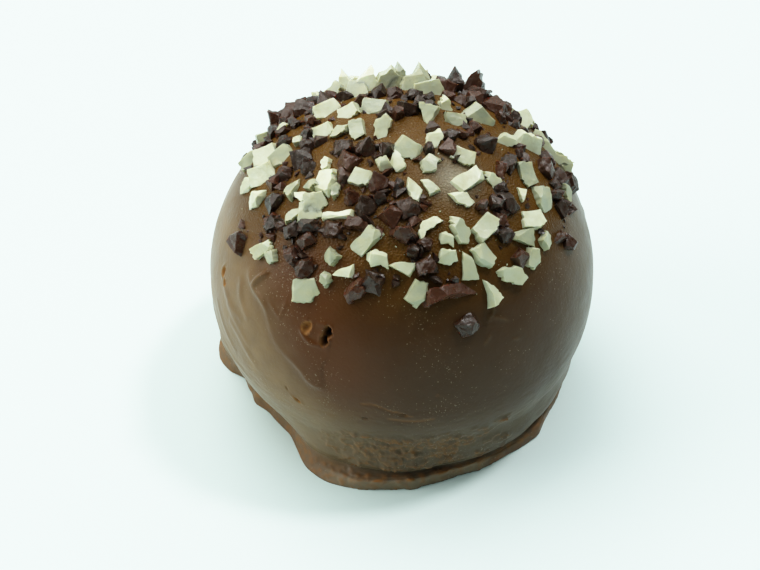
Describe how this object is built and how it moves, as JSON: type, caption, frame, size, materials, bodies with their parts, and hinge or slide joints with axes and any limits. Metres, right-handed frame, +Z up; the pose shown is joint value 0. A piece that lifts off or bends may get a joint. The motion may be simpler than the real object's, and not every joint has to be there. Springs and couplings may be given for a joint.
{
  "type": "chocolate praline",
  "caption": "Round dipped truffle praline with a run-out foot, its top covered in broken white and dark chocolate chips.",
  "frame": {"origin": "on the flat underside, straight under the middle of the ball", "axes": "+Z up, out of the top of the ball; -Y towards the side that the picture shows; +X to that side's right"},
  "size_m": [0.0303, 0.0299, 0.026],
  "materials": {
    "milk_chocolate": "satin set milk chocolate, a little dusty",
    "white_chocolate": "waxy broken white chocolate",
    "dark_chocolate": "glossy broken dark chocolate"
  },
  "bodies": {
    "root": {"praline": "milk_chocolate"}
  },
  "joints": []
}
